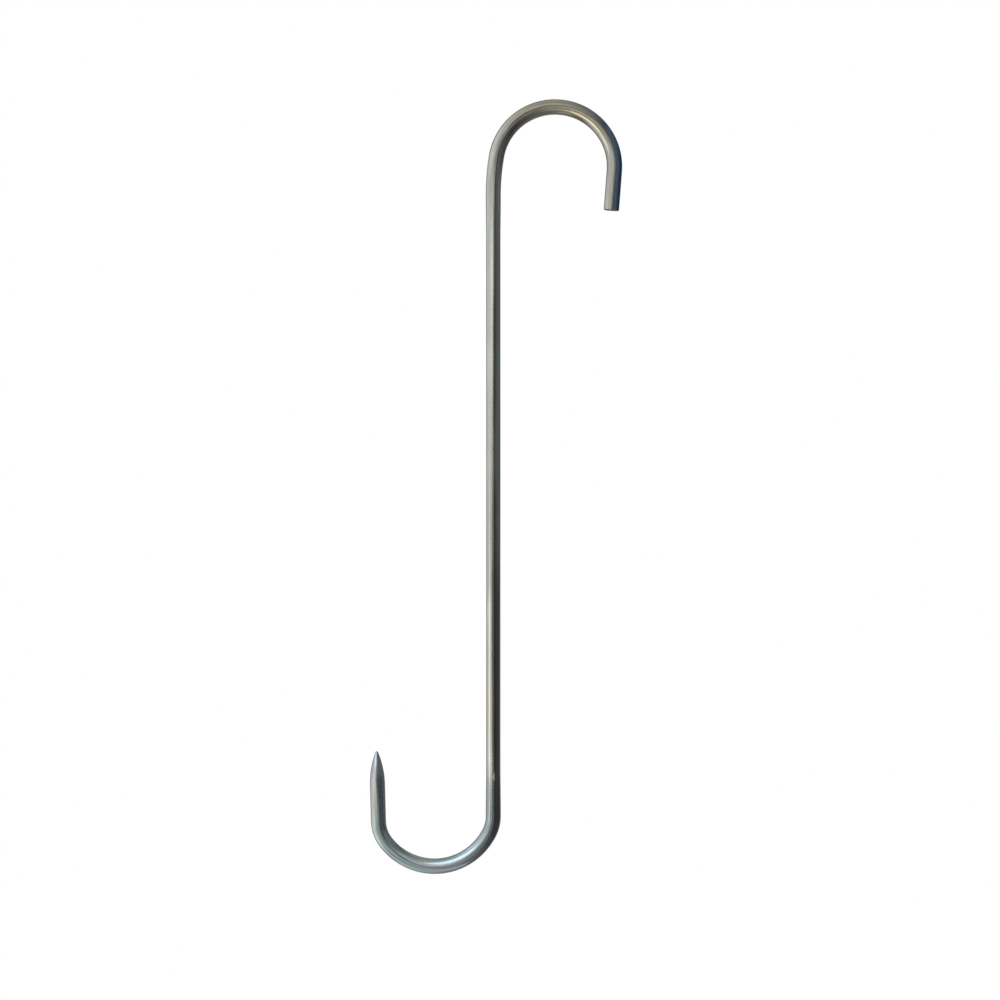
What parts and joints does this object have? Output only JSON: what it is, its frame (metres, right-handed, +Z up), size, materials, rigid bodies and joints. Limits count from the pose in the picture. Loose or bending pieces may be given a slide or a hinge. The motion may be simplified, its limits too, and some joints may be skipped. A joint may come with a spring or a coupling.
{
  "type": "s hook",
  "caption": "Long S hook of round steel bar: a wide upper bend with a blunt leg hangs over a rail, and a lower bend with an upturned ground point carries the load.",
  "frame": {"origin": "underside of the upper bend at its crown, where a rail touches it, in the middle of the bar's width", "axes": "+Z up, the hook hanging; +X from the shank towards the blunt leg of the upper bend; +Y across the plane in which the bar is bent"},
  "size_m": [0.1336, 0.008, 0.4103],
  "materials": {
    "steel_bar": "satin drawn stainless steel bar, with a ground point"
  },
  "bodies": {
    "root": {"s_hook": "steel_bar"}
  },
  "joints": []
}
